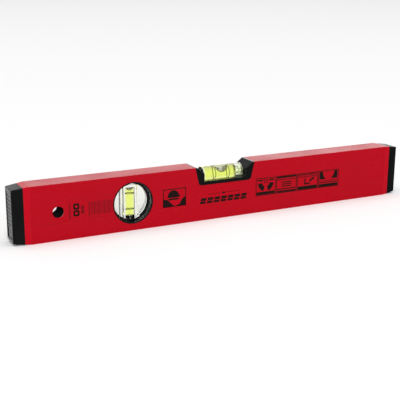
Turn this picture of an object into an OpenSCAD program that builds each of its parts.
// Box-section spirit level with a level vial in a top notch and a plumb vial in a round window.
// X runs along the length, Y through the thickness and Z up.
// The origin is at the middle of the bottom measuring face.

/* [Profile] */
// Overall length, end face to end face
level_length = 400; // [300:10:600]
// Height, bottom measuring face to top measuring face
level_height = 50; // [48:0.5:60]
// Thickness, front face to back face
level_depth = 21; // [20:0.5:26]
// Wall of the front and back faces
side_wall = 1.8; // [1.5:0.1:2.2]
// Wall of the two measuring faces
edge_wall = 2.2; // [1.5:0.1:3]
// Height of the sunk band along the middle of the front and back
band_height = 20.8; // [14:0.2:26]
// Depth of the sunk band
band_recess = 0.3; // [0.1:0.05:0.5]

/* [Ends] */
// Length of each black end cap outside the profile
cap_length = 10; // [8:0.5:14]
// Length of each red collar between the profile and its cap
collar_length = 5.3; // [3:0.1:8]
// Drop of the top and bottom faces from the profile to the end face
taper_height = 2; // [0.5:0.1:2.5]
// Drop of the front and back faces from the profile to the end face
taper_depth = 1.7; // [0.5:0.1:1.8]
// Length of the spigot that grips the inside of the profile
spigot_length = 24; // [12:1:30]
// Depth of the panel sunk into each end face
panel_recess = 0.7; // [0.3:0.1:1]
// Number of raised ribs on each end panel
rib_count = 9; // [3:1:11]

/* [Hanging hole] */
// Distance from the left end face to the hole
hang_hole_inset = 39.6; // [38:0.1:60]
// Radius of the hole
hang_hole_radius = 5; // [3:0.5:5.5]
// Radius of the dimple around the hole
hang_dimple_radius = 7; // [6:0.5:8]
// Depth of the dimple
hang_dimple_depth = 0.5; // [0.2:0.1:0.8]

/* [Level vial] */
// Width of the notch at the top face
notch_top_width = 62; // [60:0.5:70]
// Width of the notch at its floor
notch_floor_width = 54; // [53:0.5:58]
// Depth of the notch below the top face
notch_depth = 16.8; // [16:0.1:18]
// Corner radius of the notch floor
notch_corner = 3.5; // [1:0.5:5]
// Clear length between the cradle's two walls
cradle_gap = 43.2; // [41:0.1:45]
// Thickness of the cradle under the vial
cradle_floor = 3.3; // [2.5:0.1:4]
// Length of the vial body
level_vial_length = 40.6; // [38:0.2:40.8]
// Radius of the rounded top of the vial body
level_vial_radius = 7; // [6:0.1:7.5]
// Length of the clear plug at the right end
level_plug_length = 5.8; // [3:0.1:8]
// Distance between the two reading rings
level_ring_spacing = 14.3; // [13.5:0.1:16]
// Length of the bubble
level_bubble_length = 13.2; // [8:0.1:13.6]

/* [Plumb vial] */
// Distance from the left end face to the window's centre
plumb_inset = 108; // [90:1:120]
// Outer radius of the window's two bezels
bezel_radius = 18.9; // [18.4:0.1:19.5]
// Radius of the opening at each face
window_radius = 17.7; // [17.2:0.1:17.8]
// Radius of the opening in the web that holds the clear disc
web_radius = 16; // [15.5:0.1:16.2]
// Width of the upright vial block
plumb_block_width = 15; // [13:0.1:16]
// Depth of the upright vial block, front to back
plumb_block_depth = 12; // [11:0.1:13]
// Distance between the two reading rings
plumb_ring_spacing = 14; // [12:0.1:15]
// Height of the bubble
plumb_bubble_height = 2.6; // [2:0.1:3]

/* [Vial bores] */
// Radius of the bore in both vials
bore_radius = 4.3; // [4:0.1:4.6]
// Width of a reading ring
ring_width = 0.6; // [0.3:0.1:1]

/* [Hidden] */
$fn = 64;

red = [0.68, 0.02, 0.08];
bright_red = [0.76, 0.02, 0.1];
black = [0.11, 0.12, 0.12];
clear = [0.86, 0.93, 0.92, 0.4];
yellow_green = [0.86, 0.95, 0.32, 0.7];
air = [1, 1, 1, 0.5];
ring_green = [0.3, 0.36, 0.08];

// How far a cutting solid runs past the solid that it cuts
past = 1;
// Gap between pieces that sit loosely in each other
fit_gap = 0.1;
// Gap between the liquid and the wall of its bore
wet_gap = 0.02;

// Profile
mid_height = level_height / 2;
half_depth = level_depth / 2;
inner_half_depth = half_depth - side_wall;
inner_height = level_height - 2 * edge_wall;
profile_end = level_length / 2 - cap_length - collar_length;
hang_hole_x = hang_hole_inset - level_length / 2;

// Ends
collar_end = profile_end + collar_length;
cap_end = level_length / 2;
spigot_start = collar_end - spigot_length;
spigot_gap = 0.2;
spigot_wall = 1.8;
end_edge = 0.6;
cap_end_wall = 3.5;
grip_rib_length = 14;
grip_rib_width = 1.6;
panel_side_margin = 2;
panel_end_margin = 3;
panel_rib_width = 1.5;
panel_rib_height = 0.45;
panel_rib_low = 15;
panel_rib_high = 43;

// Cradle and level vial
notch_floor_z = level_height - notch_depth;
vial_seat_z = notch_floor_z + cradle_floor;
vial_axis_z = vial_seat_z + 4.5;
cradle_slope_top = 29.2;
cradle_slope_z = level_height - 5.7;
cradle_side_gap = 0.05;
skirt_half_length = 25.5;
skirt_depth = 5;
skirt_wall = 1.4;
core_start = cradle_gap / 2 + 1.6;
core_top_z = level_height - 8.5;
level_bore_start = -17;
level_plug_start = level_vial_length / 2 - level_plug_length;
plug_slot_width = 1;
plug_slot_depth = 1.8;
plug_slot_reach = 3;

// Bubbles and rings
ring_radial = 0.2;
ring_outer = bore_radius - wet_gap;
ring_inner = ring_outer - ring_radial;
bubble_radius = ring_inner - 0.13;
bubble_void_gap = 0.1;
level_bubble_bottom_z = vial_axis_z - 0.1;
level_bubble_depth = vial_axis_z + bore_radius - level_bubble_bottom_z;
level_bubble_curve = sphere_through(level_bubble_length / 2, level_bubble_depth);

// Plumb window
plumb_x = plumb_inset - level_length / 2;
bezel_hole_radius = bezel_radius + fit_gap;
web_face = 3.5;
funnel_depth = 3.5;
funnel_radius = min(web_radius + 1.4, window_radius);
disc_radius = web_radius - fit_gap;
disc_half_thickness = 3.4;
flange_radius = web_radius + 0.9;
flange_half_thickness = 0.75;
rim_bevel = 0.4;
key_width = 3;
key_reach = 0.9;
block_radius = web_radius - 0.2;
plumb_plug_top = mid_height + 3.6 - web_radius;
plumb_bore_top = mid_height - 4 + web_radius;
plumb_bubble_top = plumb_bore_top - 0.05;
plumb_bubble_curve = sphere_through(bubble_radius, plumb_bubble_height);

function unit(v) = v / norm(v);

// Radius of the sphere whose cap is this high and has this radius at its rim
function sphere_through(rim, height) = (rim * rim + height * height) / (2 * height);

// Points of an arc of radius r that rounds the corner at c between a and b
function corner_arc(a, c, b, r, steps = 8) =
  let (
    to_a = unit(a - c),
    to_b = unit(b - c),
    half = acos(to_a * to_b) / 2,
    centre = c + unit(to_a + to_b) * r / sin(half),
    first = c + to_a * r / tan(half) - centre,
    last = c + to_b * r / tan(half) - centre
  )
  [for (i = [0 : steps]) centre + r * unit(first * (1 - i / steps) + last * i / steps)];

// Extrudes an outline drawn in Y and Z along X, centred
module along_x(length) {
  rotate([90, 0, 90])
    linear_extrude(length, center = true)
      children();
}

// Extrudes an outline drawn in X and Z along Y, centred
module along_y(depth) {
  rotate([90, 0, 0])
    linear_extrude(depth, center = true)
      children();
}

// Round bar along Y between two Y values, centred on x and z
module round_y(x, z, r, y_from, y_to) {
  translate([x, y_to, z])
    rotate([90, 0, 0])
      cylinder(r = r, h = y_to - y_from);
}

// Round bar along X between two X values, on the level vial's axis
module round_x(r, x_from, x_to) {
  translate([x_from, 0, vial_axis_z])
    rotate([0, 90, 0])
      cylinder(r = r, h = x_to - x_from);
}

// Round bar along Z between two Z values, on the plumb vial's axis
module round_z(r, z_from, z_to) {
  translate([plumb_x, 0, z_from])
    cylinder(r = r, h = z_to - z_from);
}

// Box-section outline with the sunk band on both sides
module profile_outline() {
  difference() {
    translate([-half_depth, 0])
      square([level_depth, level_height]);
    for (side = [-1, 1])
      translate([side * half_depth, mid_height])
        square([2 * band_recess, band_height], center = true);
  }
}

// Outline of the notch or of what fills it, up to top_z, each side moved in by gap
module notch_outline(gap, top_z) {
  slope = (notch_top_width - notch_floor_width) / 2 / notch_depth;
  floor_half = notch_floor_width / 2 - gap;
  top_half = floor_half + slope * (top_z - notch_floor_z);
  right = [floor_half, notch_floor_z];
  left = [-floor_half, notch_floor_z];
  polygon(concat(
    [[-top_half, top_z]],
    corner_arc([-top_half, top_z], left, right, notch_corner),
    corner_arc(left, right, [top_half, top_z], notch_corner),
    [[top_half, top_z]]
  ));
}

// Hole for hanging the level, dimpled on both faces
module hang_hole() {
  face = half_depth - band_recess;
  round_y(hang_hole_x, mid_height, hang_hole_radius, -half_depth - past, half_depth + past);
  for (side = [-1, 1])
    translate([hang_hole_x, side * face, mid_height])
      rotate([side * 90, 0, 0])
        cylinder(r1 = hang_dimple_radius, r2 = hang_hole_radius, h = hang_dimple_depth);
}

module profile() {
  color(red)
    difference() {
      along_x(2 * profile_end)
        profile_outline();
      along_x(2 * profile_end + 2 * past)
        translate([0, mid_height])
          square([2 * inner_half_depth, inner_height], center = true);
      along_y(level_depth + 2 * past)
        notch_outline(0, level_height + past);
      round_y(plumb_x, mid_height, bezel_hole_radius, -half_depth - past, half_depth + past);
      hang_hole();
    }
}

// Half of the right end's outline, from the profile to the end face, tapered and with a small edge
module taper_outline(half_size, drop) {
  end_half = half_size - drop;
  run = cap_end - profile_end;
  shoulder = half_size - drop * (run - end_edge) / run;
  polygon([
    [profile_end, -half_size],
    [cap_end - end_edge, -shoulder],
    [cap_end, end_edge - end_half],
    [cap_end, end_half - end_edge],
    [cap_end - end_edge, shoulder],
    [profile_end, half_size]
  ]);
}

// Tapered block that the right collar and cap are cut from, between two X values
module tapered_end(x_from, x_to) {
  intersection() {
    translate([0, 0, mid_height])
      along_y(level_depth + 2 * past)
        taper_outline(mid_height, taper_height);
    translate([0, 0, -past])
      linear_extrude(level_height + 2 * past)
        taper_outline(half_depth, taper_depth);
    translate([x_from, -half_depth - past, -past])
      cube([x_to - x_from, level_depth + 2 * past, level_height + 2 * past]);
  }
}

// Square-cornered tube or bar along X, centred in the section
module box_bar(x_from, x_to, half_width, height) {
  translate([x_from, -half_width, mid_height - height / 2])
    cube([x_to - x_from, 2 * half_width, height]);
}

// Right collar: an open frame between the profile and the cap
module end_collar() {
  color(bright_red)
    difference() {
      tapered_end(profile_end, collar_end);
      box_bar(profile_end - past, collar_end + past, inner_half_depth, inner_height);
    }
}

// Spigot that fills the inside of the profile, with ribs that touch its walls
module spigot() {
  half_width = inner_half_depth - spigot_gap;
  height = inner_height - 2 * spigot_gap;
  box_bar(spigot_start, collar_end + past, half_width, height);
  for (z = [mid_height - height / 4, mid_height + height / 4])
    translate([spigot_start + past, -inner_half_depth, z - grip_rib_width / 2])
      cube([grip_rib_length, 2 * inner_half_depth, grip_rib_width]);
  translate([spigot_start + past, -grip_rib_width / 2, edge_wall])
    cube([grip_rib_length, grip_rib_width, inner_height]);
}

// Right end cap: tapered block, hollow spigot and a sunk end panel with raised ribs
module end_cap() {
  core_half_width = inner_half_depth - spigot_gap - spigot_wall;
  core_height = inner_height - 2 * (spigot_gap + spigot_wall);
  panel_half_width = half_depth - taper_depth - panel_side_margin;
  panel_height = level_height - 2 * (taper_height + panel_end_margin);
  rib_pitch = (panel_rib_high - panel_rib_low) / (rib_count - 1);
  color(black) {
    difference() {
      union() {
        tapered_end(collar_end, cap_end);
        spigot();
      }
      box_bar(spigot_start - past, cap_end - cap_end_wall, core_half_width, core_height);
      box_bar(cap_end - panel_recess, cap_end + past, panel_half_width, panel_height);
    }
    for (i = [0 : rib_count - 1])
      translate([cap_end - panel_recess, past - panel_half_width, panel_rib_low + i * rib_pitch])
        cube([panel_rib_height, 2 * (panel_half_width - past), panel_rib_width]);
  }
}

module left_end_collar() {
  mirror([1, 0, 0])
    end_collar();
}

module right_end_collar() {
  end_collar();
}

module left_end_cap() {
  mirror([1, 0, 0])
    end_cap();
}

module right_end_cap() {
  end_cap();
}

// Opening between the cradle's walls, which flares out towards the top
module cradle_opening() {
  half_gap = cradle_gap / 2;
  rise = (level_height - cradle_slope_z + past) / (level_height - cradle_slope_z);
  flare = half_gap + (cradle_slope_top - half_gap) * rise;
  polygon([
    [-half_gap, vial_seat_z],
    [half_gap, vial_seat_z],
    [half_gap, cradle_slope_z],
    [flare, level_height + past],
    [-flare, level_height + past],
    [-half_gap, cradle_slope_z]
  ]);
}

// U-shaped cradle that fills the notch, cored from below, with a skirt inside the profile
module level_vial_cradle() {
  skirt_half_depth = inner_half_depth - fit_gap;
  core_half_depth = skirt_half_depth - skirt_wall;
  core_length = skirt_half_length - skirt_wall - core_start;
  color(black)
    difference() {
      union() {
        along_y(level_depth)
          notch_outline(cradle_side_gap, level_height);
        translate([-skirt_half_length, -skirt_half_depth, notch_floor_z - skirt_depth])
          cube([2 * skirt_half_length, 2 * skirt_half_depth, skirt_depth + past]);
      }
      along_y(level_depth + 2 * past)
        cradle_opening();
      translate([skirt_wall - skirt_half_length, -core_half_depth, notch_floor_z - skirt_depth - past])
        cube([2 * (skirt_half_length - skirt_wall), 2 * core_half_depth, skirt_depth + past]);
      for (x = [core_start, -core_start - core_length])
        translate([x, -core_half_depth, notch_floor_z - past])
          cube([core_length, 2 * core_half_depth, core_top_z - notch_floor_z + past]);
    }
}

module level_vial_body() {
  color(clear)
    difference() {
      intersection() {
        round_x(level_vial_radius, -level_vial_length / 2, level_vial_length / 2);
        translate([-level_vial_length, -level_vial_radius, vial_seat_z])
          cube([2 * level_vial_length, 2 * level_vial_radius, 3 * level_vial_radius]);
      }
      round_x(bore_radius, level_bore_start, level_vial_length / 2 + past);
    }
}

// Plug that closes the bore's right end, with a cross-shaped slot in its outer face
module level_vial_plug() {
  slot_start = level_vial_length / 2 - plug_slot_depth;
  color(clear)
    difference() {
      round_x(ring_outer, level_plug_start, level_vial_length / 2);
      for (turn = [45, 135])
        translate([slot_start, 0, vial_axis_z])
          rotate([turn, 0, 0])
            translate([0, -plug_slot_reach, -plug_slot_width / 2])
              cube([plug_slot_depth + past, 2 * plug_slot_reach, plug_slot_width]);
    }
}

// Bubble at the top of the level vial's bore, grown by gap
module level_bubble_shape(gap) {
  intersection() {
    round_x(bubble_radius + gap, -level_bubble_length, level_bubble_length);
    translate([0, 0, level_bubble_bottom_z + level_bubble_curve])
      sphere(r = level_bubble_curve + gap);
  }
}

module level_vial_bubble() {
  color(air)
    level_bubble_shape(0);
}

// Thin ring inside the level vial's bore, centred on x
module level_ring(x) {
  color(ring_green)
    difference() {
      round_x(ring_outer, x - ring_width / 2, x + ring_width / 2);
      round_x(ring_inner, x - ring_width, x + ring_width);
    }
}

module level_vial_ring_left() {
  level_ring(-level_ring_spacing / 2);
}

module level_vial_ring_right() {
  level_ring(level_ring_spacing / 2);
}

module level_vial_liquid() {
  color(yellow_green)
    difference() {
      round_x(ring_outer, level_bore_start + wet_gap, level_plug_start - wet_gap);
      level_bubble_shape(bubble_void_gap);
      level_vial_ring_left();
      level_vial_ring_right();
    }
}

// Key at the left edge of the disc's flange that stops it from turning, grown by gap
module disc_key(gap) {
  height = key_width + 2 * gap;
  translate([plumb_x - flange_radius - key_reach - gap, -flange_half_thickness, mid_height - height / 2])
    cube([flange_radius / 2, 2 * flange_half_thickness, height]);
}

// Front bezel: a barrel from the front face to the middle, with a funnel down to the web round the disc
module plumb_front_bezel() {
  funnel_front = -web_face - funnel_depth;
  color(black)
    difference() {
      round_y(plumb_x, mid_height, bezel_radius, -half_depth, 0);
      round_y(plumb_x, mid_height, window_radius, -half_depth - past, funnel_front);
      translate([plumb_x, funnel_front, mid_height])
        rotate([-90, 0, 0])
          cylinder(r1 = window_radius, r2 = funnel_radius, h = funnel_depth);
      round_y(plumb_x, mid_height, web_radius, -half_depth, past);
      round_y(plumb_x, mid_height, flange_radius + fit_gap, -flange_half_thickness, past);
      translate([plumb_x, -half_depth, mid_height])
        rotate([-90, 0, 0])
          cylinder(r1 = window_radius + rim_bevel, r2 = window_radius, h = rim_bevel);
      disc_key(fit_gap);
    }
}

module plumb_back_bezel() {
  mirror([0, 1, 0])
    plumb_front_bezel();
}

// Clear disc with an upright vial block through its middle, and a flange that the two bezels clamp
module plumb_vial_body() {
  color(clear)
    difference() {
      union() {
        round_y(plumb_x, mid_height, disc_radius, -disc_half_thickness, disc_half_thickness);
        round_y(plumb_x, mid_height, flange_radius, -flange_half_thickness, flange_half_thickness);
        disc_key(0);
        intersection() {
          round_y(plumb_x, mid_height, block_radius, -plumb_block_depth / 2, plumb_block_depth / 2);
          translate([plumb_x, 0, mid_height])
            cube([plumb_block_width, plumb_block_depth, 2 * web_radius], center = true);
        }
      }
      round_z(bore_radius, 0, plumb_bore_top);
    }
}

// Plug that closes the bore's lower end, flush with the rounded end of the block
module plumb_vial_plug() {
  color(black)
    intersection() {
      round_z(ring_outer, 0, plumb_plug_top);
      round_y(plumb_x, mid_height, block_radius, -plumb_block_depth, plumb_block_depth);
    }
}

// Bubble at the top of the plumb vial's bore, grown by gap
module plumb_bubble_shape(gap) {
  intersection() {
    round_z(bubble_radius + gap, mid_height, plumb_bubble_top);
    translate([plumb_x, 0, plumb_bubble_top - plumb_bubble_height + plumb_bubble_curve])
      sphere(r = plumb_bubble_curve + gap);
  }
}

module plumb_vial_bubble() {
  color(air)
    plumb_bubble_shape(0);
}

// Thin ring inside the plumb vial's bore, centred on z
module plumb_ring(z) {
  color(ring_green)
    difference() {
      round_z(ring_outer, z - ring_width / 2, z + ring_width / 2);
      round_z(ring_inner, z - ring_width, z + ring_width);
    }
}

module plumb_vial_ring_upper() {
  plumb_ring(mid_height + plumb_ring_spacing / 2);
}

module plumb_vial_ring_lower() {
  plumb_ring(mid_height - plumb_ring_spacing / 2);
}

module plumb_vial_liquid() {
  color(yellow_green)
    difference() {
      round_z(ring_outer, plumb_plug_top + wet_gap, plumb_bore_top - wet_gap);
      plumb_bubble_shape(bubble_void_gap);
      round_z(bubble_radius + bubble_void_gap, plumb_bubble_top - wet_gap, plumb_bore_top);
      plumb_vial_ring_upper();
      plumb_vial_ring_lower();
    }
}

profile();
left_end_collar();
right_end_collar();
left_end_cap();
right_end_cap();
level_vial_cradle();
level_vial_body();
level_vial_plug();
level_vial_liquid();
level_vial_bubble();
level_vial_ring_left();
level_vial_ring_right();
plumb_front_bezel();
plumb_back_bezel();
plumb_vial_body();
plumb_vial_plug();
plumb_vial_liquid();
plumb_vial_bubble();
plumb_vial_ring_upper();
plumb_vial_ring_lower();
